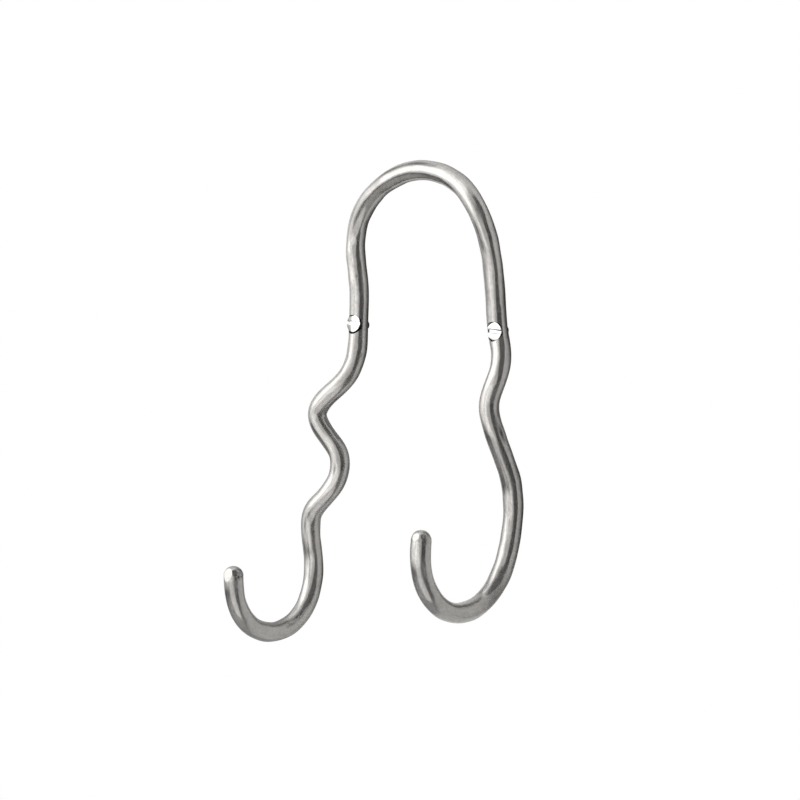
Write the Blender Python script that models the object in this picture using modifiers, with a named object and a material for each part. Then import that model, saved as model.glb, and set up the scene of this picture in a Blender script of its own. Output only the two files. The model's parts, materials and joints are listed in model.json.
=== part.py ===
"""Double hook for a wall, bent from one round steel rod, with its two slotted countersunk screws.

The rod runs from one hook tip up a waved leg, over an arch and down the other leg to the second hook.
Metres, +Z up. The wall is the plane y = 0 and the hooks reach towards -Y.
The origin is on the wall, midway between the two screws.
"""

from math import ceil, cos, pi, sin

import bmesh
import bpy
import numpy as np

MM = 0.001

# Rod
ROD_RADIUS = 4.0 * MM
ROD_SAMPLES = 4  # rings from one route point to the next
DOME_RINGS = 5  # rings in each domed end
TIP_FLAT = 0.02  # share of the dome's height that ends in a small flat

# Screws, 4 x 35 mm countersunk wood screws with a slot
SCREW_SPACING = 75.0 * MM
SCREW_RISE = 0.9 * MM  # the right-hand hole sits this much higher than the left
HEAD_RADIUS = 3.65 * MM
HEAD_FACE = 6.6 * MM  # from the wall to the head's flat face
HEAD_LAND = 0.4 * MM  # straight edge of the head above its cone
SLOT_WIDTH = 1.15 * MM
SLOT_DEPTH = 1.1 * MM
SHANK_RADIUS = 1.95 * MM
THREAD_RADIUS = 1.7 * MM  # mean of the thread's root and crest
SHANK_LENGTH = 14.0 * MM  # plain part, from the head's face
SCREW_LENGTH = 35.0 * MM
POINT_LENGTH = 4.0 * MM
POINT_RADIUS = 0.25 * MM

# Holes through the rod, countersunk for the heads
FIT_GAP = 0.3 * MM
SEAT_RADIUS = 4.7 * MM  # mouth of the countersink
HOLE_RADIUS = SHANK_RADIUS + FIT_GAP

# Middle of the rod from tip to tip, in mm: across (+X), out from the wall (-Y) and up (+Z)
LEFT_HOOK = [
    (-53.75, 61, -96), (-53.75, 60.5, -107), (-53.75, 57, -116), (-53.75, 48.5, -123.5),
    (-53, 37, -126), (-51.75, 26.5, -122), (-51.5, 19.5, -113.5),
]
LEFT_WAVE = [
    (-52, 16.25, -100.5), (-52.75, 17, -88.5), (-52, 17, -79.5), (-46.5, 16, -72.5),
    (-41, 13.5, -64), (-41, 12.5, -54.5), (-47.5, 13, -46.5), (-51.75, 14, -38),
    (-46.5, 12.5, -29.75), (-40, 9, -22.5), (-37.5, 6, -14),
]
ARCH = [
    (-37.5, 4.25, -0.5), (-37.25, 4.25, 15), (-39, 4.25, 28), (-37.5, 4.5, 40), (-30, 5.5, 50.75),
    (-18.75, 6, 58.5), (-4.5, 6.25, 62.75), (9.5, 6.5, 61.75), (21.5, 7.5, 56.5),
    (29.25, 8.5, 49), (33.75, 7.5, 39), (35.5, 5.5, 25), (36.25, 4.5, 11), (37.25, 4.25, 0),
]
RIGHT_WAVE = [
    (40.25, 6, -8.5), (41.25, 9.5, -17.25), (38.5, 11, -27), (40.5, 11, -37),
    (43, 8.75, -46.5), (45, 6, -56.5), (46, 5, -69), (46, 6.75, -80.5),
]
RIGHT_HOOK = [
    (45.75, 10, -90.25), (45.5, 15.5, -98.5), (44.75, 23, -104.25), (45.25, 34, -106.25),
    (45.75, 46, -103.5), (45.25, 54, -96.5), (44.5, 58, -85), (44.25, 57, -71.5),
]
ROUTE = LEFT_HOOK + LEFT_WAVE + ARCH + RIGHT_WAVE + RIGHT_HOOK

TURN_STEPS = 32


def clear_scene():
    for obj in list(bpy.data.objects):
        bpy.data.objects.remove(obj, do_unlink=True)


def new_collection(name):
    collection = bpy.data.collections.new(name)
    bpy.context.scene.collection.children.link(collection)
    return collection


def metal(name, colour, roughness):
    material = bpy.data.materials.new(name)
    material.use_nodes = True
    shader = material.node_tree.nodes["Principled BSDF"]
    shader.inputs["Base Color"].default_value = (*colour, 1.0)
    shader.inputs["Metallic"].default_value = 1.0
    shader.inputs["Roughness"].default_value = roughness
    return material


def smooth_curve(points, samples):
    """A curve of continuous curvature through the points: a natural cubic spline on chord length."""
    chord = np.linalg.norm(np.diff(points, axis=0), axis=1)
    count = len(points)
    system = np.eye(count)
    bend = np.zeros((count, 3))
    for i in range(1, count - 1):
        system[i, i - 1 : i + 2] = chord[i - 1], 2 * (chord[i - 1] + chord[i]), chord[i]
        ahead = (points[i + 1] - points[i]) / chord[i]
        behind = (points[i] - points[i - 1]) / chord[i - 1]
        bend[i] = 6 * (ahead - behind)
    bend = np.linalg.solve(system, bend)
    pieces = []
    for i, span in enumerate(chord):
        t = np.linspace(0, span, samples, endpoint=False)[:, None]
        rest = span - t
        curved = (bend[i] * rest**3 + bend[i + 1] * t**3) / (6 * span)
        start = (points[i] / span - bend[i] * span / 6) * rest
        end = (points[i + 1] / span - bend[i + 1] * span / 6) * t
        pieces.append(curved + start + end)
    pieces.append(points[-1:])
    return np.concatenate(pieces)


def at_lengths(line, lengths):
    """Points on the line at these distances along it."""
    along = np.concatenate([[0], np.cumsum(np.linalg.norm(np.diff(line, axis=0), axis=1))])
    return np.stack([np.interp(lengths, along, line[:, k]) for k in range(3)], axis=1)


def rod_centreline():
    """The rod's middle line and its radius at each point. Quarter circles close the two ends."""
    across, out, up = np.array(ROUTE, float).T * MM
    fine = smooth_curve(np.stack([across, -out, up], axis=1), 20)
    total = np.linalg.norm(np.diff(fine, axis=0), axis=1).sum()
    angles = np.linspace(TIP_FLAT * pi, pi / 2, DOME_RINGS)
    dome = ROD_RADIUS * (1 - np.cos(angles))
    dome_radius = ROD_RADIUS * np.sin(angles)
    rings = ROD_SAMPLES * (len(ROUTE) - 1)
    middle = np.linspace(ROD_RADIUS, total - ROD_RADIUS, rings)[1:-1]
    lengths = np.concatenate([dome, middle, (total - dome)[::-1]])
    radii = np.concatenate([dome_radius, np.full(len(middle), ROD_RADIUS), dome_radius[::-1]])
    return at_lengths(fine, lengths), radii


def curve_to_mesh(curve_object):
    """A mesh object in place of the curve, with its caps welded, so that it can be cut."""
    graph = bpy.context.evaluated_depsgraph_get()
    mesh = bpy.data.meshes.new_from_object(curve_object.evaluated_get(graph))
    work = bmesh.new()
    work.from_mesh(mesh)
    bmesh.ops.remove_doubles(work, verts=work.verts, dist=0.00001)
    work.to_mesh(mesh)
    work.free()
    obj = bpy.data.objects.new(curve_object.name, mesh)
    obj.matrix_world = curve_object.matrix_world
    name = curve_object.name
    bpy.data.objects.remove(curve_object, do_unlink=True)
    obj.name = name
    return obj


def make_rod(collection, material):
    points, radii = rod_centreline()
    curve = bpy.data.curves.new("bent_rod", "CURVE")
    curve.dimensions = "3D"
    curve.bevel_depth = ROD_RADIUS
    curve.bevel_resolution = 6
    curve.use_fill_caps = True
    spline = curve.splines.new("POLY")
    spline.points.add(len(points) - 1)
    for point, place, radius in zip(spline.points, points, radii):
        point.co = (*place, 1.0)
        point.radius = radius / ROD_RADIUS
    curve_object = bpy.data.objects.new("bent_rod", curve)
    collection.objects.link(curve_object)
    bpy.context.view_layer.update()
    rod = curve_to_mesh(curve_object)
    collection.objects.link(rod)
    rod.data.materials.clear()
    rod.data.materials.append(material)
    return rod


def turned(name, profile, collection):
    """A profile of (radius, height) points, from top to bottom, turned about +Z with the Screw modifier."""
    mesh = bpy.data.meshes.new(name)
    edges = [(i, i + 1) for i in range(len(profile) - 1)]
    mesh.from_pydata([(radius, 0, height) for radius, height in profile], edges, [])
    obj = bpy.data.objects.new(name, mesh)
    collection.objects.link(obj)
    spin = obj.modifiers.new("turn", "SCREW")
    spin.steps = spin.render_steps = TURN_STEPS
    spin.use_merge_vertices = True
    spin.merge_threshold = 0.000001
    return obj


def face_forwards(obj, place):
    """Turns the object's +Z to the front of the hook and puts its origin at this place."""
    obj.rotation_euler = (pi / 2, 0, 0)
    obj.location = place


def cut(obj, cutter, name):
    modifier = obj.modifiers.new(name, "BOOLEAN")
    modifier.operation = "DIFFERENCE"
    modifier.object = cutter


def hide_cutter(obj):
    obj.hide_render = True
    obj.display_type = "WIRE"


def head_face(side):
    """Middle of a screw head's flat face. side is -1 for the left screw and 1 for the right."""
    return (side * SCREW_SPACING / 2, -HEAD_FACE, side * SCREW_RISE / 2)


def make_seat_cutter(name, side, collection):
    """The clearance hole and countersink. Heights are measured from the head's face."""
    above = 5 * MM
    below = -(HEAD_FACE + 2 * MM)
    edge = HEAD_RADIUS + FIT_GAP
    mouth = SEAT_RADIUS - edge - HEAD_LAND
    throat = -(HEAD_RADIUS - SHANK_RADIUS) - HEAD_LAND
    profile = [
        (0, above), (SEAT_RADIUS, above), (SEAT_RADIUS, mouth), (edge, -HEAD_LAND),
        (HOLE_RADIUS, throat), (HOLE_RADIUS, below), (0, below),
    ]
    cutter = turned(name, profile, collection)
    face_forwards(cutter, head_face(side))
    hide_cutter(cutter)
    return cutter


def make_slot_cutter(name, side, collection):
    bpy.ops.mesh.primitive_cube_add(size=1)
    cutter = bpy.context.object
    cutter.name = name
    for other in list(cutter.users_collection):
        other.objects.unlink(cutter)
    collection.objects.link(cutter)
    across, face, up = head_face(side)
    cutter.scale = (4 * HEAD_RADIUS, 2 * SLOT_DEPTH, SLOT_WIDTH)
    cutter.location = (across, face, up)
    hide_cutter(cutter)
    return cutter


def make_screw(name, side, collection, material, slot_cutter):
    """A countersunk head, a plain shank and the threaded part as a plain cylinder that ends in a point."""
    cone_end = -(HEAD_RADIUS - SHANK_RADIUS) - HEAD_LAND
    taper = SHANK_RADIUS - THREAD_RADIUS
    profile = [
        (0, 0), (HEAD_RADIUS, 0), (HEAD_RADIUS, -HEAD_LAND), (SHANK_RADIUS, cone_end),
        (SHANK_RADIUS, -SHANK_LENGTH), (THREAD_RADIUS, -SHANK_LENGTH - taper),
        (THREAD_RADIUS, -(SCREW_LENGTH - POINT_LENGTH)), (POINT_RADIUS, -SCREW_LENGTH), (0, -SCREW_LENGTH),
    ]
    screw = turned(name, profile, collection)
    face_forwards(screw, head_face(side))
    cut(screw, slot_cutter, "slot")
    screw.data.materials.append(material)
    return screw


def main():
    clear_scene()
    parts = new_collection("double_hook")
    cutters = new_collection("cutters")
    satin_steel = metal("satin_steel", (0.56, 0.55, 0.53), 0.28)
    bright_steel = metal("bright_steel", (0.75, 0.75, 0.74), 0.15)
    rod = make_rod(parts, satin_steel)
    for side, word in ((-1, "left"), (1, "right")):
        cut(rod, make_seat_cutter(f"seat_cutter_{word}", side, cutters), f"seat_{word}")
        slot = make_slot_cutter(f"slot_cutter_{word}", side, cutters)
        make_screw(f"screw_{word}", side, parts, bright_steel, slot)
    for obj in parts.objects:
        obj.data.polygons.foreach_set("use_smooth", [True] * len(obj.data.polygons))
        obj.data.set_sharp_from_angle(angle=pi / 6)


main()
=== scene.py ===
import json
from math import cos, pi, radians, sin, tan

import bpy
import numpy as np
from mathutils import Matrix, Vector

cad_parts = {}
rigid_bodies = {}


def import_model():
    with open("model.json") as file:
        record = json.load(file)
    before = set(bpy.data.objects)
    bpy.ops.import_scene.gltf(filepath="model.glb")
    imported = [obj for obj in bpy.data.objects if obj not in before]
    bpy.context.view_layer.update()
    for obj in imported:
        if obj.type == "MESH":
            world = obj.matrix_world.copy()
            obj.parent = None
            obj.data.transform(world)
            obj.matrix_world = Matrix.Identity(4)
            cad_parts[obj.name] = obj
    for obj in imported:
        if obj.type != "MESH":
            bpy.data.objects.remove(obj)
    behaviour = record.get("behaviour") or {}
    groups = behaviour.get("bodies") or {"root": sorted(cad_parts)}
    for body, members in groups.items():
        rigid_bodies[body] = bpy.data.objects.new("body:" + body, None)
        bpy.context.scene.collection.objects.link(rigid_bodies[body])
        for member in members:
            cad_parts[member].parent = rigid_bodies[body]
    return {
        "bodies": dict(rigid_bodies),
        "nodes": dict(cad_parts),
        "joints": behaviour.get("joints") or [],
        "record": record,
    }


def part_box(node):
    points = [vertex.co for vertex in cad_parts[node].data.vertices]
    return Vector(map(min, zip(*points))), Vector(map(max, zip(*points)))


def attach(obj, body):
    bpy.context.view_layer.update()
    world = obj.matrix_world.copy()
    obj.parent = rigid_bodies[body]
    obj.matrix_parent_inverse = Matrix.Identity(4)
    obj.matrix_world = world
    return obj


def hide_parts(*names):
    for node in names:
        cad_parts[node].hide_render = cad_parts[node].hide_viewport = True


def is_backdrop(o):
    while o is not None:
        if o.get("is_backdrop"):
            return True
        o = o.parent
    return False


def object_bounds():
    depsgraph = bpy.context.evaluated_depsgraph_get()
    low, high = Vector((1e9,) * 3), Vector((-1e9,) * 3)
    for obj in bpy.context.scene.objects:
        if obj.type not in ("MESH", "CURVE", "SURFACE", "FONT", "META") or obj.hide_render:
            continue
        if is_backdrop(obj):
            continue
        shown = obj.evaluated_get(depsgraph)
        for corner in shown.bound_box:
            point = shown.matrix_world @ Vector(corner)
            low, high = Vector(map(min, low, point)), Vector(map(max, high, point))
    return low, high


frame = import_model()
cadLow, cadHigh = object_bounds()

mm = 0.001


def gridMesh(name, grid):
    # Rows of points become bands of quads. Each row closes on itself, and the first and
    # last rows are single points, so fans of triangles close the two ends.
    rows, columns = grid.shape[:2]
    points = np.concatenate([grid[:1, 0], grid[1:-1].reshape(-1, 3), grid[-1:, 0]])
    body = 1 + np.arange((rows - 2) * columns).reshape(rows - 2, columns)
    beside = np.roll(body, -1, axis=1)
    quads = np.stack([body[:-1], beside[:-1], beside[1:], body[1:]], axis=-1).reshape(-1, 4)
    last = len(points) - 1
    startFan = np.stack([np.zeros(columns, int), beside[0], body[0]], axis=-1)
    endFan = np.stack([np.full(columns, last), body[-1], beside[-1]], axis=-1)
    mesh = bpy.data.meshes.new(name)
    mesh.from_pydata(points.tolist(), [], quads.tolist() + startFan.tolist() + endFan.tolist())
    return addObject(name, mesh)


def addObject(name, data):
    made = bpy.data.objects.new(name, data)
    bpy.context.scene.collection.objects.link(made)
    return made


def cutWith(piece, cutters):
    # Booleans are applied, so what is left is the finished mesh at the origin.
    for cutter in cutters:
        step = piece.modifiers.new("cut", "BOOLEAN")
        step.operation = "DIFFERENCE"
        step.object = cutter
    graph = bpy.context.evaluated_depsgraph_get()
    finished = bpy.data.meshes.new_from_object(piece.evaluated_get(graph))
    piece.modifiers.clear()
    piece.data = finished
    for cutter in cutters:
        bpy.data.objects.remove(cutter)


def finishPiece(piece, node, material, sharpAngle):
    piece.data.polygons.foreach_set("use_smooth", np.ones(len(piece.data.polygons), bool))
    piece.data.set_sharp_from_angle(angle=radians(sharpAngle))
    piece.data.materials.clear()
    piece.data.materials.append(material)
    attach(piece, "root")
    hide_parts(node)
    print(node, "faces", len(piece.data.polygons))


def corners(piece):
    points = np.empty(len(piece.data.vertices) * 3)
    piece.data.vertices.foreach_get("co", points)
    return points.reshape(-1, 3)


def smoothStep(x):
    x = np.clip(x, 0, 1)
    return x * x * (3 - 2 * x)


def outward(azimuth, elevation):
    # Azimuth 0 points from the wall into the room and 90 to the right.
    a, e = radians(azimuth), radians(elevation)
    return Vector((sin(a) * cos(e), -cos(a) * cos(e), sin(e)))


class Flow:
    # A socket that Python's operators extend: numbers go through Math nodes.
    def __init__(self, tree, socket):
        self.tree = tree
        self.socket = socket

    def math(self, operation, *values):
        made = self.tree.nodes.new("ShaderNodeMath")
        made.operation = operation
        for place, value in zip(made.inputs, values):
            plug(self.tree, value, place)
        return Flow(self.tree, made.outputs[0])

    def __add__(self, other):
        return self.math("ADD", self, other)

    def __radd__(self, other):
        return self.math("ADD", other, self)

    def __sub__(self, other):
        return self.math("SUBTRACT", self, other)

    def __rsub__(self, other):
        return self.math("SUBTRACT", other, self)

    def __mul__(self, other):
        return self.math("MULTIPLY", self, other)

    def __rmul__(self, other):
        return self.math("MULTIPLY", other, self)

    def __pow__(self, other):
        return self.math("POWER", self, other)

    def __rpow__(self, other):
        return self.math("POWER", other, self)


def plug(tree, value, place):
    # A link when the value is a flow, and otherwise the socket's own value.
    if isinstance(value, Flow):
        tree.links.new(value.socket, place)
    else:
        place.default_value = value


class Shader:
    def __init__(self, owner):
        owner.use_nodes = True
        self.tree = owner.node_tree
        self.tree.nodes.clear()

    def node(self, kind, settings=None, **values):
        # Settings come first, because they decide which sockets a node has. A socket goes by its
        # name, with underscores for spaces, or by its identifier where two share a name.
        made = self.tree.nodes.new("ShaderNode" + kind)
        for key, value in (settings or {}).items():
            setattr(made, key, value)
        shown = [socket for socket in made.inputs if socket.enabled]
        for key, value in values.items():
            name = key.replace("_", " ")
            place = next(s for s in shown if s.name == name or s.identifier == key)
            plug(self.tree, value, place)
        return {s.name: Flow(self.tree, s) for s in made.outputs if s.enabled}

    def noise(self, where, scale, **values):
        return self.node("TexNoise", Vector=where, Scale=scale, **values)["Fac"]

    def ramp(self, value, start, end):
        # 0 up to the start and 1 from the end on
        return self.node("MapRange", Value=value, From_Min=start, From_Max=end)["Result"]

    def mixColour(self, factor, first, second):
        return self.node(
            "Mix", dict(data_type="RGBA"), Factor_Float=factor, A_Color=first, B_Color=second
        )["Result"]

    def mixShader(self, factor, first, second):
        return self.node("MixShader", Fac=factor, Shader=first, Shader_001=second)["Shader"]


rodShape = dict(
    radius=4.0 * mm,
    sides=88,
    ringStep=0.6 * mm,
    tipStep=0.25 * mm,      # closer rings over the last stretch at each tip
    tipLength=9 * mm,
    domeRings=18,
    routeSteps=8000,        # how finely the route is measured
    sharpAngle=35,          # edges sharper than this stay crisp, in degrees
    seed=11,
    # Unevenness: how much on average, the range of its wave lengths in mm, and how many
    # waves go round the bar. The last one is on the tips only, and fades out over tipFade.
    bending=dict(amount=0.05 * mm, lengths=(7, 40), orders=(0, 1, 2, 2, 3, 3, 4, 5)),
    drawing=dict(amount=0.016 * mm, lengths=(25, 120), orders=(5, 6, 7, 8, 9, 11)),
    filing=dict(amount=0.025 * mm, lengths=(1.2, 3), orders=(3, 4, 6, 8, 10)),
    tipFade=3 * mm,
)

# Middle of the rod from tip to tip, in mm: across (+X), out from the wall (-Y) and up (+Z)
leftHook = [
    (-53.75, 61, -96), (-53.75, 60.5, -107), (-53.75, 57, -116), (-53.75, 48.5, -123.5),
    (-53, 37, -126), (-51.75, 26.5, -122), (-51.5, 19.5, -113.5),
]
leftWave = [
    (-52, 16.25, -100.5), (-52.75, 17, -88.5), (-52, 17, -79.5), (-46.5, 16, -72.5),
    (-41, 13.5, -64), (-41, 12.5, -54.5), (-47.5, 13, -46.5), (-51.75, 14, -38),
    (-46.5, 12.5, -29.75), (-40, 9, -22.5), (-37.5, 6, -14),
]
arch = [
    (-37.5, 4.25, -0.5), (-37.25, 4.25, 15), (-39, 4.25, 28), (-37.5, 4.5, 40), (-30, 5.5, 50.75),
    (-18.75, 6, 58.5), (-4.5, 6.25, 62.75), (9.5, 6.5, 61.75), (21.5, 7.5, 56.5),
    (29.25, 8.5, 49), (33.75, 7.5, 39), (35.5, 5.5, 25), (36.25, 4.5, 11), (37.25, 4.25, 0),
]
rightWave = [
    (40.25, 6, -8.5), (41.25, 9.5, -17.25), (38.5, 11, -27), (40.5, 11, -37),
    (43, 8.75, -46.5), (45, 6, -56.5), (46, 5, -69), (46, 6.75, -80.5),
]
rightHook = [
    (45.75, 10, -90.25), (45.5, 15.5, -98.5), (44.75, 23, -104.25), (45.25, 34, -106.25),
    (45.75, 46, -103.5), (45.25, 54, -96.5), (44.5, 58, -85), (44.25, 57, -71.5),
]


def routeCurve(route, step, steps):
    # The natural cubic spline through the points, with chord length as its parameter:
    # a cubic on each chord, whose second derivatives solve one banded system.
    across, out, up = np.array(route, float).T * mm
    points = np.stack([across, -out, up], axis=1)
    chord = np.linalg.norm(np.diff(points, axis=0), axis=1)
    slope = np.diff(points, axis=0) / chord[:, None]
    system = np.diag(np.r_[1, 2 * (chord[:-1] + chord[1:]), 1])
    system += np.diag(np.r_[chord[:-1], 0], -1) + np.diag(np.r_[0, chord[1:]], 1)
    bend = np.linalg.solve(system, 6 * np.pad(np.diff(slope, axis=0), ((1, 1), (0, 0))))
    knots = np.r_[0, np.cumsum(chord)]
    along = np.linspace(0, knots[-1], steps)
    i = np.clip(np.searchsorted(knots, along, "right") - 1, 0, len(chord) - 1)
    h, t = chord[i][:, None], (along - knots[i])[:, None]
    s = h - t
    fine = (bend[i] * s**3 + bend[i + 1] * t**3) / (6 * h)
    fine += (points[i] / h - bend[i] * h / 6) * s + (points[i + 1] / h - bend[i + 1] * h / 6) * t
    length = np.r_[0, np.cumsum(np.linalg.norm(np.diff(fine, axis=0), axis=1))]
    even = np.linspace(0, length[-1], int(length[-1] / step) + 1)
    return even, np.stack([np.interp(even, length, fine[:, k]) for k in range(3)], axis=1)


def carriedFrames(path):
    # Tangents from neighbouring points, and a side vector that is carried along the path
    # and kept square to the tangent, so that it never twists.
    tangent = np.gradient(path, axis=0)
    tangent /= np.linalg.norm(tangent, axis=1)[:, None]
    side = np.zeros_like(path)
    side[0] = np.cross(tangent[0], (0, 1, 0))
    for i in range(1, len(path)):
        side[i] = side[i - 1] - tangent[i] * (side[i - 1] @ tangent[i])
        side[i] /= np.linalg.norm(side[i])
    side[0] = side[1]
    return tangent, side, np.cross(tangent, side)


# Marks of the bending tools: how far along the rod and which way round it, in mm and degrees,
# then half length, half width and depth in mm. A negative depth is a bump.
dents = [
    (3.9, 12, 0.6, 0.6, 0.35), (4.3, 342, 0.3, 2.0, 0.20), (5.5, 60, 1.4, 1.0, -0.05),
    (97.1, 282, 3.2, 0.8, 0.09), (123.6, 39, 1.4, 0.8, 0.07), (124.6, 279, 2.6, 0.8, 0.09),
    (131.6, 336, 1.3, 0.9, 0.07), (152.6, 328, 2.8, 1.8, 0.14), (165.1, 285, 1.0, 0.7, 0.05),
    (171.6, 327, 2.4, 1.0, 0.07), (178.1, 345, 1.0, 0.8, -0.05), (181.6, 330, 1.0, 0.8, 0.07),
    (184.1, 285, 2.0, 1.0, 0.05), (214.2, 291, 0.45, 0.45, 0.12), (318.0, 205, 3.5, 1.2, 0.08),
    (330.7, 262, 5.0, 1.6, 0.20), (344.0, 235, 7.0, 1.4, 0.07), (350.3, 255, 0.5, 0.5, 0.06),
    (356.3, 190, 1.6, 1.0, 0.06), (400.0, 148, 1.2, 0.6, 0.06), (407.8, 152, 3.0, 0.8, 0.13),
    (534.0, 150, 0.6, 0.6, 0.06), (536.0, 132, 0.6, 0.8, 0.07),
]

# Creases along the bar: points as (along, round), then half width and depth in mm. Each one
# fades in and out over creaseFade.
creaseFade = 5
creases = [
    ([(258, 186), (272, 190), (281, 202), (293, 205), (300, 213), (318, 215)], 0.55, 0.045),
    ([(238, 318), (250, 310), (262, 304), (276, 309)], 0.5, 0.03),
    ([(398, 220), (409, 225), (420, 229), (430, 225), (436, 219), (450, 216), (464, 209)],
     0.45, 0.05),
    ([(101, 308), (114, 292), (123, 304)], 0.4, 0.025),
    ([(163, 296), (172, 299), (180, 300)], 0.4, 0.025),
    ([(499, 93), (508, 91), (519, 110), (527, 103)], 0.45, 0.03),
    ([(7, 32), (14, 29), (20, 17), (28, 2)], 0.5, 0.025),
    ([(404, 240), (416, 246), (428, 243), (440, 236)], 0.4, 0.02),
]

# Dark spots and lines painted on the bar, many of them in the dents: as for the dents, with how
# dark instead of how deep. Eight of the lines lie where the camera sees the bar's edge, and are
# painted dark reflections.
darkSpotsAndReflections = [
    (2.4, 348, 2.2, 2.0, 0.3), (3.9, 12, 0.8, 0.7, 1.0), (4.1, 345, 0.35, 1.6, 0.6),
    (47.0, 310, 9.0, 0.8, 0.4), (78.0, 34, 17.0, 1.0, 1.0), (97.1, 282, 3.0, 0.5, 0.6),
    (120.0, 12, 7.0, 0.6, 0.7), (123.6, 39, 1.4, 0.9, 0.6), (124.6, 279, 2.4, 0.5, 0.6),
    (131.6, 336, 1.2, 0.8, 0.3), (132.0, 246, 8.0, 0.6, 0.6), (152.6, 330, 2.4, 1.5, 0.5),
    (171.6, 327, 2.2, 0.8, 0.3), (181.6, 330, 1.2, 0.6, 0.4), (214.2, 291, 0.4, 0.4, 0.9),
    (222.0, 46, 9.0, 0.6, 0.5), (266.0, 209, 10.0, 0.8, 0.75), (280.0, 206, 8.0, 0.8, 0.75),
    (318.0, 207, 3.0, 0.9, 0.5), (340.0, 190, 9.0, 0.5, 0.3), (343.0, 262, 12.0, 0.9, 0.5),
    (354.0, 141, 13.0, 0.8, 0.95), (356.3, 192, 1.4, 0.7, 0.5), (400.0, 148, 1.6, 0.5, 0.4),
    (404.0, 172, 4.0, 0.7, 0.5), (408.0, 160, 3.2, 0.9, 0.9), (420.0, 280, 10.0, 0.8, 0.9),
    (442.0, 136, 11.0, 0.8, 0.9), (475.0, 152, 8.0, 3.0, 0.45), (537.0, 128, 2.6, 0.8, 0.6),
    (539.0, 150, 1.2, 1.2, 0.35),
]

# Filed flats on the tips: which tip, the way it faces as azimuth and elevation, and depth in mm
flats = [
    ("left", -3, 18, 0.80), ("left", 52, 30, 0.16), ("left", 90, 5, 0.12),
    ("right", 0, 30, 0.34), ("right", 30, 84, 0.22), ("right", 64, 30, 0.16),
]


def waves(along, angle, seed, amount, lengths, orders):
    # A sum of waves that run along and round the rod, scaled to the amount as their spread:
    # cos(2 pi along / length + phase) times cos(order angle + turns along / length + phase).
    draw = np.random.default_rng(seed)
    total = np.zeros(np.broadcast(along, angle).shape)
    for order in orders:
        for length in draw.uniform(*lengths, 3) * mm:
            turns = cos(draw.uniform(0, 2 * pi))
            lengthwise = np.cos(2 * pi * along / length + draw.uniform(0, 2 * pi))
            crosswise = np.cos(order * angle + turns * along / length + draw.uniform(0, 2 * pi))
            total += lengthwise * crosswise / (1 + order)
    return amount * total / total.std()


def hollow(ahead, aside, halfLength, halfWidth):
    # exp(-(ahead / half length)^2 - (aside / half width)^2)
    return np.exp(-(ahead / halfLength) ** 2 - (aside / halfWidth) ** 2)


def toolMarks(along, angle, radius):
    # Each mark is a hollow of its own depth. The way round it is measured as an arc.
    total = np.zeros(np.broadcast(along, angle).shape)
    for start, turn, halfLength, halfWidth, depth in dents:
        arc = ((angle - radians(turn) + pi) % (2 * pi) - pi) * radius
        total += depth * mm * hollow(along - start * mm, arc, halfLength * mm, halfWidth * mm)
    for route, halfWidth, depth in creases:
        points, turns = np.array(route, float).T
        turn = np.interp(along, points * mm, np.radians(turns))
        grown = smoothStep((along / mm - points[0]) / creaseFade)
        grown = grown * smoothStep((points[-1] - along / mm) / creaseFade)
        arc = ((angle - turn + pi) % (2 * pi) - pi) * radius
        total += depth * mm * grown * hollow(0, arc, 1, halfWidth * mm)
    return total


def fileFlats(grid, path, along, total):
    # A point that stands higher than the flat, seen from the middle of the dome, is moved back
    # onto it: point - normal times max(0, (point - middle) normal - level).
    radius = rodShape["radius"]
    for tip, azimuth, elevation, depth in flats:
        near = along < 2 * radius if tip == "left" else along > total - 2 * radius
        inner = radius if tip == "left" else total - radius
        middle = np.array([np.interp(inner, along, path[:, k]) for k in range(3)])
        normal = np.array(outward(azimuth, elevation))
        over = np.maximum(0, (grid[near] - middle) @ normal - (radius - depth * mm))
        grid[near] -= over[..., None] * normal


def makeRod():
    # A circle of this radius carried along the route. At each end its radius follows a
    # quarter circle, radius times sin(turn), while its centre moves radius times (1 - cos(turn)).
    shape = rodShape
    radius, tip, seed, fade = (shape[key] for key in ("radius", "tipLength", "seed", "tipFade"))
    route = leftHook + leftWave + arch + rightWave + rightHook
    even, line = routeCurve(route, shape["ringStep"], shape["routeSteps"])
    total = even[-1]
    dome = radius * (1 - np.cos(np.linspace(0, pi / 2, shape["domeRings"])))
    close = np.arange(radius + shape["tipStep"], tip, shape["tipStep"])
    middle = np.linspace(tip, total - tip, int((total - 2 * tip) / shape["ringStep"]))
    along = np.concatenate([dome, close, middle, (total - close)[::-1], (total - dome)[::-1]])
    inset = np.clip(1 - np.minimum(along, total - along) / radius, 0, 1)
    width = np.sqrt(1 - inset**2)
    tangent, side, other = carriedFrames(line)
    path, across, beyond = (
        np.stack([np.interp(along, even, vectors[:, k]) for k in range(3)], axis=1)
        for vectors in (line, side, other)
    )
    angle = np.linspace(0, 2 * pi, shape["sides"], endpoint=False)[None, :]
    far = along[:, None]
    rough = waves(far, angle, seed, **shape["bending"])
    rough += waves(far, angle, seed + 1, **shape["drawing"])
    atTip = smoothStep(1 - (np.minimum(far, total - far) - fade) / fade)
    rough += atTip * waves(far, angle, seed + 2, **shape["filing"])
    reach = (radius + rough - toolMarks(far, angle, radius)) * width[:, None]
    turn = angle[..., None]
    grid = path[:, None] + reach[..., None] * (
        np.cos(turn) * across[:, None] + np.sin(turn) * beyond[:, None]
    )
    fileFlats(grid, path, along, total)
    return gridMesh("bentRod", grid), even, line, (tangent, side, other)


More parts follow.
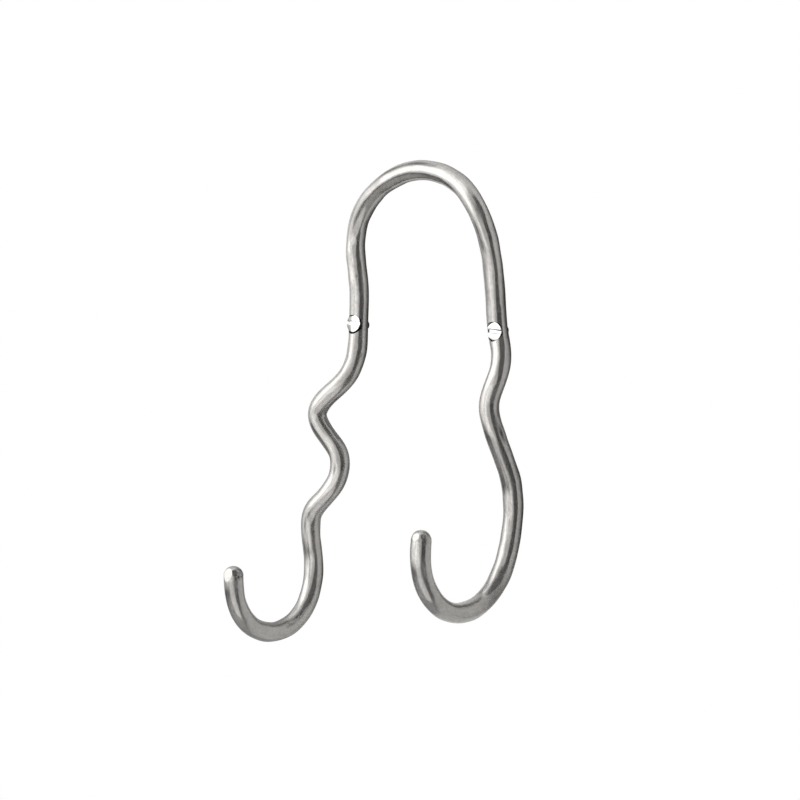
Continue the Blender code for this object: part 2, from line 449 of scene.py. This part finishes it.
screwShape = dict(
    headRadius=3.6 * mm,
    edgeBreak=0.1 * mm,
    dome=0.16 * mm,         # how far the middle of the face stands over its edge
    land=0.4 * mm,
    shank=1.95 * mm,
    plainLength=14.0 * mm,
    pitch=1.8 * mm,
    crest=1.98 * mm,
    root=1.4 * mm,
    ridgeHalf=0.34,         # half width of a ridge, as a share of the pitch
    ridgeSharp=1.15,        # 1 is a straight flank, and more is a hollow one
    runIn=1.2,              # turns over which the thread grows out of the shank
    length=35.0 * mm,
    point=6.0 * mm,         # length of the tapered end, and how full its taper is
    pointFull=0.8,
    slotWidth=1.1 * mm,
    slotDepth=1.0 * mm,
    sides=120,
    threadRings=16,         # rings in one turn of the thread
    sharpAngle=30,
)
# How each screw sits: out from its seat, to the side and up in mm, and which way it points.
# A painted shade darkens the left part of its face.
screwSits = dict(
    left=dict(out=1.0, side=0.0, rise=0.3, facing=(-2, 8), faceShade=1.0),
    right=dict(out=0.25, side=-0.3, rise=0.1, facing=(0, 0), faceShade=0.2),
)
# Worn slot edges in mm: how wide the upper one is broken at its left and right ends, and the
# lower one
slotWear = dict(left=(0.55, 0.22, 0.12), right=(0.50, 0.16, 0.10))

seatShape = dict(
    gap=0.1 * mm,           # round the head's edge
    mouth=3.9 * mm,
    hole=2.25 * mm,
    ahead=6 * mm,           # how far the cutter reaches before and behind the face
    behind=9 * mm,
    seatShadeFrom=0.25 * mm,     # painted shade in the seats starts at this depth in the bar, and is full after the next depth
    seatShadeOver=0.3 * mm,
)


def headFace(node):
    # The middle of a screw head's flat face, from its CAD solid: the solid's lowest y, and
    # the middle of its width and height.
    low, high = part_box(node)
    return Vector(((low.x + high.x) / 2, low.y, (low.z + high.z) / 2))


def screwFrame(place, facing, out=0.0, side=0.0, rise=0.0):
    # The middle of the face, and the directions across it, up it and out of it
    axis = np.array(outward(*facing))
    across = np.cross(axis, (0, 0, 1))
    across = -across / np.linalg.norm(across)
    up = np.cross(axis, across)
    return np.array(place) + (axis * out + across * side + up * rise) * mm, across, up, axis


def turned(name, radius, depth, sides, frame):
    # Radii, one for each depth and angle, turned about the screw's axis:
    # middle + radius (cos(angle) across - sin(angle) up) - depth axis.
    middle, across, up, axis = frame
    angle = np.linspace(0, 2 * pi, sides, endpoint=False)[None, :, None]
    radius = np.broadcast_to(np.asarray(radius), (len(depth), sides))[..., None]
    ring = radius * (np.cos(angle) * across - np.sin(angle) * up)
    return gridMesh(name, middle + ring - np.asarray(depth)[:, None, None] * axis)


def seatCutter(place):
    s, seat = screwShape, seatShape
    edge = s["headRadius"] + seat["gap"]
    flare = seat["mouth"] - edge
    cone = s["headRadius"] - s["shank"]
    ahead, behind, land = -seat["ahead"], seat["behind"], s["land"]
    radius = [0, seat["mouth"], seat["mouth"], edge, seat["hole"], seat["hole"], 0]
    depth = [ahead, ahead, land - flare, land, land + cone, behind, behind]
    return turned("seat", np.array(radius)[:, None], depth, s["sides"], screwFrame(place, (0, 0)))


def makeScrew(name, frame):
    # The profile gives a radius for each depth, with 10 rings over the domed face, 5 round its
    # edge, 8 down the cone and 12 along the plain shank. The thread adds a ridge that climbs
    # one pitch a turn: root + (crest - root) ridge(depth / pitch - angle / 2 pi).
    s = screwShape
    flat, edge, shank = s["headRadius"], s["edgeBreak"], s["shank"]
    coneEnd = s["land"] + flat - shank
    corner = np.linspace(0, pi / 2, 5)
    face = np.linspace(0, 0.95, 10) * (flat - edge)
    head = [(r, -s["dome"] * (1 - (r / flat) ** 2)) for r in face]
    head += [(flat - edge + edge * sin(a), edge - edge * cos(a)) for a in corner]
    head += [(flat, s["land"])]
    head += [(flat - d, s["land"] + d) for d in np.linspace(0.1, 1, 8) * (flat - shank)]
    head += [(shank, d) for d in np.linspace(coneEnd + 0.5 * mm, s["plainLength"], 12)]
    depth = np.arange(s["plainLength"], s["length"], s["pitch"] / s["threadRings"])[1:]
    radius, level = np.array(head).T
    angle = np.linspace(0, 2 * pi, s["sides"], endpoint=False)[None, :]
    ramp = smoothStep((depth - s["plainLength"]) / (s["runIn"] * s["pitch"]))[:, None]
    taper = np.clip((s["length"] - depth) / s["point"], 0, 1)[:, None] ** s["pointFull"]
    phase = (depth[:, None] / s["pitch"] - angle / (2 * pi)) % 1
    ridge = np.clip(1 - np.abs(phase - 0.5) / s["ridgeHalf"], 0, 1) ** s["ridgeSharp"]
    core = (shank + (s["root"] - shank) * ramp) * taper
    rise = ramp * np.clip(taper * 1.6, 0, 1)  # none at the point
    height = (s["crest"] - s["root"]) * ridge * rise
    thread = np.minimum(core + height, s["crest"])
    plain = np.broadcast_to(radius[:, None], (len(radius), s["sides"]))
    full = np.concatenate([plain, thread, np.zeros((1, s["sides"]))])
    return turned(name, full, np.concatenate([level, depth, [s["length"]]]), s["sides"], frame)


def slotCutter(frame, wear):
    # A bar across the face that also stands over it by top. Its section opens at 45 degrees
    # near the face, more so where worn.
    s = screwShape
    middle, across, up, axis = frame
    half, deep, top = s["slotWidth"] / 2, s["slotDepth"], 1.5 * mm
    upperLeft, upperRight, lower = (w * mm for w in wear)
    rows = []
    for x, upper in ((-2 * s["headRadius"], upperLeft), (2 * s["headRadius"], upperRight)):
        section = [
            (-half, deep), (half, deep), (half, upper), (half + upper + top, -top),
            (-half - lower - top, -top), (-half, lower),
        ]
        rows.append([middle + across * x + up * z - axis * d for z, d in section])
    sides = [(k, (k + 1) % 6, 6 + (k + 1) % 6, 6 + k) for k in range(6)]
    ends = [(5, 4, 3, 2, 1, 0), (6, 7, 8, 9, 10, 11)]
    mesh = bpy.data.meshes.new("slot")
    mesh.from_pydata([tuple(p) for row in rows for p in row], [], sides + ends)
    return addObject("slot", mesh)


satinFinish = dict(
    colour=(0.376, 0.366, 0.351),
    # The next colour is dark paint: for dark spots, painted reflection lines and painted shade in
    # the screw seats.
    spotAndShadeColour=(0.03, 0.029, 0.027),
    mottle=0.40,            # how far stains lighten and darken the colour
    mottleSize=0.8 * mm,
    broadScale=90.0,        # cells a metre of the slow change in colour and gloss
    stretch=(0.5, 1, 1),    # the grain is drawn out to twice its length along the bar
    roughness=0.20,
    broadGloss=0.1,         # how far the slow change and the grain vary the roughness
    grainGloss=0.06,
    grain=0.005 * mm,       # height of the fine grain, and of the coarser ripple under it
    grainSize=0.4 * mm,
    ripple=0.026 * mm,
    rippleSize=1.6 * mm,
)
brightFinish = dict(
    colour=(0.68, 0.68, 0.67),
    # The next two colours are painted shade: on the left of the face, and in the slot's corner.
    faceShadeColour=(0.20, 0.20, 0.195),
    spotAndShadeColour=(0.02, 0.02, 0.02),
    slotShadeBreak=1.6,          # how far the ripple eats into the edge of the painted shade in the slot
    slotShadeEdge=(0.5, 0.7),
    roughness=0.16,
    scuffGloss=0.1,
    scuff=0.004 * mm,
    scuffScale=900.0,
    ripple=0.03 * mm,
    rippleScale=450.0,
)


def satinSteel():
    f = satinFinish
    material = bpy.data.materials.new("satinSteel")
    s = Shader(material)
    straight = s.node("Attribute", dict(attribute_name="straight"))["Vector"]
    # One attribute holds dark spots, painted reflection lines and painted shade in the seats; where
    # it is 1 the bar is black and not metal.
    spotsAndShade = s.node("Attribute", dict(attribute_name="spotsAndShade"))["Fac"]
    drawn = s.node(
        "VectorMath", dict(operation="MULTIPLY"), Vector=straight, Vector_001=f["stretch"]
    )["Vector"]
    fine = s.noise(drawn, 1 / f["grainSize"], Detail=3.0, Roughness=0.6)
    ripple = s.noise(drawn, 1 / f["rippleSize"], Detail=2.0)
    stain = s.noise(drawn, 1 / f["mottleSize"], Detail=4.0, Roughness=0.7)
    broad = s.noise(straight, f["broadScale"], Detail=3.0)
    height = (fine - 0.5) * f["grain"] + (ripple - 0.5) * f["ripple"]
    bump = s.node("Bump", Strength=1.0, Distance=1.0, Height=height)["Normal"]
    level = (stain - 0.5) * (2 * f["mottle"]) + (broad - 0.5) * f["mottle"] + 1.0
    plain = s.node("VectorMath", dict(operation="SCALE"), Vector=f["colour"], Scale=level)["Vector"]
    colour = s.mixColour(spotsAndShade, plain, (*f["spotAndShadeColour"], 1))
    roughness = (broad - 0.5) * f["broadGloss"] + (fine - 0.5) * f["grainGloss"] + f["roughness"]
    principled = s.node(
        "BsdfPrincipled", Base_Color=colour, Metallic=1.0 - spotsAndShade, Roughness=roughness,
        Specular_IOR_Level=0.0, Normal=bump,
    )
    s.node("OutputMaterial", Surface=principled["BSDF"])
    return material


def brightSteel():
    f = brightFinish
    material = bpy.data.materials.new("brightSteel")
    s = Shader(material)
    where = s.node("TexCoord")["Object"]
    scuff = s.noise(where, f["scuffScale"], Detail=2.0)
    ripple = s.noise(where, f["rippleScale"], Detail=1.0)
    height = (scuff - 0.5) * f["scuff"] + (ripple - 0.5) * f["ripple"]
    bump = s.node("Bump", Strength=1.0, Distance=1.0, Height=height)["Normal"]
    # Attributes hold painted shade in the slot's upper corner and painted shade on the left of the
    # face.
    spotsAndShade = s.node("Attribute", dict(attribute_name="spotsAndShade"))["Fac"]
    faceShade = s.node("Attribute", dict(attribute_name="faceShade"))["Fac"]
    clean = s.mixColour(faceShade * (ripple + 0.5), (*f["colour"], 1), (*f["faceShadeColour"], 1))
    uneven = spotsAndShade - (ripple - 0.5) * f["slotShadeBreak"]
    slotShade = s.ramp(uneven, *f["slotShadeEdge"])
    colour = s.mixColour(slotShade, clean, (*f["spotAndShadeColour"], 1))
    roughness = (scuff - 0.5) * f["scuffGloss"] + f["roughness"]
    principled = s.node(
        "BsdfPrincipled", Base_Color=colour, Metallic=1.0, Roughness=roughness, Normal=bump
    )
    s.node("OutputMaterial", Surface=principled["BSDF"])
    return material


def addAttribute(piece, name, kind, values):
    attribute = piece.data.attributes.new(name, kind, "POINT")
    attribute.data.foreach_set("vector" if kind == "FLOAT_VECTOR" else "value", np.ravel(values))


def markRod(piece, even, line, frames, places):
    # Where each point lay before the rod was bent: how far along, and the two distances
    # across the bar, measured in the frame of the nearest point of its middle line. The
    # points go in parts of about 4000, which saves memory.
    points = corners(piece)
    nearest = np.empty(len(points), int)
    for part in np.array_split(np.arange(len(points)), 1 + len(points) // 4000):
        gap = points[part, None] - line[None]
        nearest[part] = (gap * gap).sum(-1).argmin(axis=1)
    away = points - line[nearest]
    ahead, x, y = ((away * vectors[nearest]).sum(1) for vectors in frames)
    along = even[nearest] + ahead
    addAttribute(piece, "straight", "FLOAT_VECTOR", np.stack([along, x, y], axis=1))
    # Dark paint, 1 is black: the dark spots and painted reflection lines, and painted shade in the
    # screw seats, which lie deeper in the bar than its own surface.
    radius, seat = rodShape["radius"], seatShape
    spotsAndShade = np.zeros(len(points))
    for start, turn, halfLength, halfWidth, amount in darkSpotsAndReflections:
        arc = ((np.arctan2(y, x) - radians(turn) + pi) % (2 * pi) - pi) * radius
        spot = hollow(along - start * mm, arc, halfLength * mm, halfWidth * mm)
        spotsAndShade = np.maximum(spotsAndShade, amount * spot)
    deep = smoothStep((radius - seat["seatShadeFrom"] - np.hypot(x, y)) / seat["seatShadeOver"])
    for place in places:
        inSeat = np.hypot(points[:, 0] - place.x, points[:, 2] - place.z) < seat["mouth"]
        spotsAndShade = np.maximum(spotsAndShade, inSeat * deep)
    addAttribute(piece, "spotsAndShade", "FLOAT", spotsAndShade)


def markScrew(piece, frame, faceShade):
    # Painted shade is 1 in the upper corner of the slot's floor and thins out across the floor.
    # A painted shade on the face grows from its middle to its left edge.
    s, near = screwShape, 0.02 * mm
    middle, across, up, axis = frame
    away = corners(piece) - middle
    x, depth = away @ across, -away @ axis
    inCorner = np.abs(away @ up - s["slotWidth"] / 2) < near
    inCorner &= np.abs(depth - s["slotDepth"]) < near
    addAttribute(piece, "spotsAndShade", "FLOAT", inCorner * 1.0)
    onFace = depth < s["edgeBreak"] / 2
    leftward = smoothStep((0.15 - x / s["headRadius"]) / 0.6)
    addAttribute(piece, "faceShade", "FLOAT", faceShade * onFace * leftward)


rod, even, line, frames = makeRod()
print("rod: length mm", round(even[-1] / mm, 1))
faces = {side: headFace("screw_" + side) for side in ("left", "right")}
cutWith(rod, [seatCutter(place) for place in faces.values()])
markRod(rod, even, line, frames, faces.values())
finishPiece(rod, "bent_rod", satinSteel(), rodShape["sharpAngle"])

for side, place in faces.items():
    sits = dict(screwSits[side])
    faceShade = sits.pop("faceShade")
    seated = screwFrame(place, **sits)
    screw = makeScrew("screw" + side.capitalize(), seated)
    cutWith(screw, [slotCutter(seated, slotWear[side])])
    markScrew(screw, seated, faceShade)
    finishPiece(screw, "screw_" + side, brightSteel(), screwShape["sharpAngle"])

studio = dict(
    lightLevel=0.3,         # strength of the room's light; seen directly, the room is plain white
    wallSize=7.0,
    wallColour=0.78,
    upperPaintedLight=0.2,        # painted light: paler by this from the screws' height up
    upperSpan=(0.0, 0.06),
    cornerPaintedShade=0.35,      # and painted shade: darker by this low on the left
    lowerSpan=(-0.02, -0.08),
    leftSpan=(-0.03, -0.07),
    shadeReach=0.015,       # painted shade: the wall is darker this close behind the rod, in metres
    shadePower=1.5,
    floorDrop=0.9,          # how far the floor lies below the hook
    floorSize=7.0,
    floorColour=0.68,
    floorLift=0.5,          # how much paler the camera sees it than it is lit
    flagColour=0.22,
)
plainWhite = (1, 1, 1, 1)
# Each panel faces the hook. Seen from there, these are its direction and its size in degrees,
# and its distance in metres.
softbox = dict(azimuth=-37, elevation=22, distance=1.4, wide=46, high=48, level=1.2)
softEdge = dict(azimuth=-34, elevation=19, distance=1.5, wide=80, high=80, level=0.75)
hotSpot = dict(azimuth=-36, elevation=30, distance=1.3, wide=22, high=22, level=11.5)
fillPanel = dict(azimuth=17, elevation=-31, distance=0.8, wide=44, high=76, turn=40, level=0.85)
topPanel = dict(azimuth=-105, elevation=80, distance=1.2, wide=90, high=34, level=0.6)
darkFlag = dict(azimuth=80, elevation=26, distance=1.2, wide=74, high=82)
cameraSet = dict(
    azimuth=42.0,
    elevation=6.0,
    distance=1.0505,
    aim=(-9.98 * mm, -9.32 * mm, -29.63 * mm),
    lens=117.0,
    clipEnd=20,
)


def plane(name, middle, across, up, material):
    # The four corners are the middle, plus or minus the half vectors across and up.
    mesh = bpy.data.meshes.new(name)
    ends = [middle - across - up, middle + across - up, middle + across + up, middle - across + up]
    mesh.from_pydata(ends, [], [(0, 1, 2, 3)])
    mesh.materials.append(material)
    made = addObject(name, mesh)
    made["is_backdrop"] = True
    return made


def plainBoard(name, level, lift=0.0):
    # The lift is added for the camera and through glass only, so a board that is lit weakly
    # can still look pale, with the shadows on it.
    material = bpy.data.materials.new(name)
    s = Shader(material)
    rays = s.node("LightPath")
    lit = s.node("BsdfDiffuse", Color=(level, level, level, 1))["BSDF"]
    glow = s.node("Emission", Color=plainWhite, Strength=lift)["Emission"]
    lifted = s.node("AddShader", Shader=lit, Shader_001=glow)["Shader"]
    seen = rays["Is Camera Ray"] + rays["Is Transmission Ray"]
    s.node("OutputMaterial", Surface=s.mixShader(seen, lit, lifted))
    return material


def wallBoard():
    # White to the camera and through glass. Metal sees the board as it is lit, with the hook's
    # shadow on it, plus painted shade close behind the rod and low on the left, and painted light
    # towards the top.
    # It shows from the front only.
    material = bpy.data.materials.new("wallBoard")
    s = Shader(material)
    rays = s.node("LightPath")
    clear = s.node("AmbientOcclusion", dict(samples=8), Distance=studio["shadeReach"])["AO"]
    where = s.node("SeparateXYZ", Vector=s.node("TexCoord")["Object"])
    upper = s.ramp(where["Z"], *studio["upperSpan"])
    lower = s.ramp(where["Z"], *studio["lowerSpan"])
    left = s.ramp(where["X"], *studio["leftSpan"])
    corner = lower * left * studio["cornerPaintedShade"]
    level = upper * studio["upperPaintedLight"] - corner + studio["wallColour"]
    lit = s.node("BsdfDiffuse", Color=clear ** studio["shadePower"] * level)["BSDF"]
    white = s.node("Emission", Color=plainWhite, Strength=1.0)["Emission"]
    front = s.mixShader(rays["Is Camera Ray"] + rays["Is Transmission Ray"], lit, white)
    behind = s.node("NewGeometry")["Backfacing"]
    s.node("OutputMaterial", Surface=s.mixShader(behind, front, s.node("BsdfTransparent")["BSDF"]))
    return material


def placed(panel):
    # The middle of a panel that faces the hook, and its half vectors across and up
    back = outward(panel["azimuth"], panel["elevation"])
    across = Vector((-back.y, back.x, 0)).normalized()
    up = back.cross(across)
    turn = radians(panel.get("turn", 0))
    across, up = across * cos(turn) + up * sin(turn), up * cos(turn) - across * sin(turn)
    reach = panel["distance"]
    halfWide, halfHigh = (reach * tan(radians(panel[key] / 2)) for key in ("wide", "high"))
    return back * reach, across * halfWide, up * halfHigh


def addLamp(name, panel, shape="ELLIPSE", inMetal=True):
    # The energy gives the panel's face this radiance: level times pi times its area.
    data = bpy.data.lights.new(name, "AREA")
    middle, across, up = placed(panel)
    data.shape = shape
    data.size, data.size_y = 2 * across.length, 2 * up.length
    area = data.size * data.size_y * (pi / 4 if shape == "ELLIPSE" else 1)
    data.energy = panel["level"] * pi * area
    lamp = addObject(name, data)
    lamp.location = middle
    facing = Matrix((across, up, middle)).transposed().normalized()
    lamp.rotation_mode = "QUATERNION"
    lamp.rotation_quaternion = facing.to_quaternion()
    lamp.visible_camera = False
    lamp.visible_glossy = inMetal


right, high = Vector((1, 0, 0)), Vector((0, 0, 1))
half = studio["wallSize"] / 2
plane("wall", Vector(), right * half, high * half, wallBoard())
half = studio["floorSize"] / 2
floorMiddle = high * (cadLow.z - studio["floorDrop"])
floorBoard = plainBoard("floorBoard", studio["floorColour"], studio["floorLift"])
plane("floor", floorMiddle, right * half, Vector((0, half, 0)), floorBoard)
flag = plane("flag", *placed(darkFlag), plainBoard("flagCloth", studio["flagColour"]))
flag.visible_camera = False
addLamp("softbox", softbox)
addLamp("softEdge", softEdge)
addLamp("hotSpot", hotSpot, inMetal=False)  # for the wall and the floor: metal doesn't show it
addLamp("fillPanel", fillPanel)
addLamp("topPanel", topPanel, shape="RECTANGLE")
print("stage: wall, floor, flag and", len(bpy.data.lights), "lamps")

world = bpy.data.worlds.new("studio")
bpy.context.scene.world = world
s = Shader(world)
rays = s.node("LightPath")
seen = rays["Is Camera Ray"] + rays["Is Glossy Ray"] + rays["Is Transmission Ray"]
plainLight = s.node("Background", Color=plainWhite, Strength=studio["lightLevel"])["Background"]
white = s.node("Background", Color=plainWhite, Strength=1.0)["Background"]
s.node("OutputWorld", Surface=s.mixShader(seen, plainLight, white))

cameraData = bpy.data.cameras.new("camera")
cameraData.lens = cameraSet["lens"]
cameraData.clip_end = cameraSet["clipEnd"]
camera = addObject("camera", cameraData)
back = outward(cameraSet["azimuth"], cameraSet["elevation"])
camera.location = Vector(cameraSet["aim"]) + back * cameraSet["distance"]
camera.rotation_mode = "QUATERNION"
camera.rotation_quaternion = back.to_track_quat("Z", "Y")
bpy.context.scene.camera = camera
print("camera: lens mm", cameraData.lens)
bpy.context.scene.view_settings.view_transform = "Standard"

low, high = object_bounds()
print("size mm", [round((b - a) / mm, 1) for a, b in zip(low, high)])
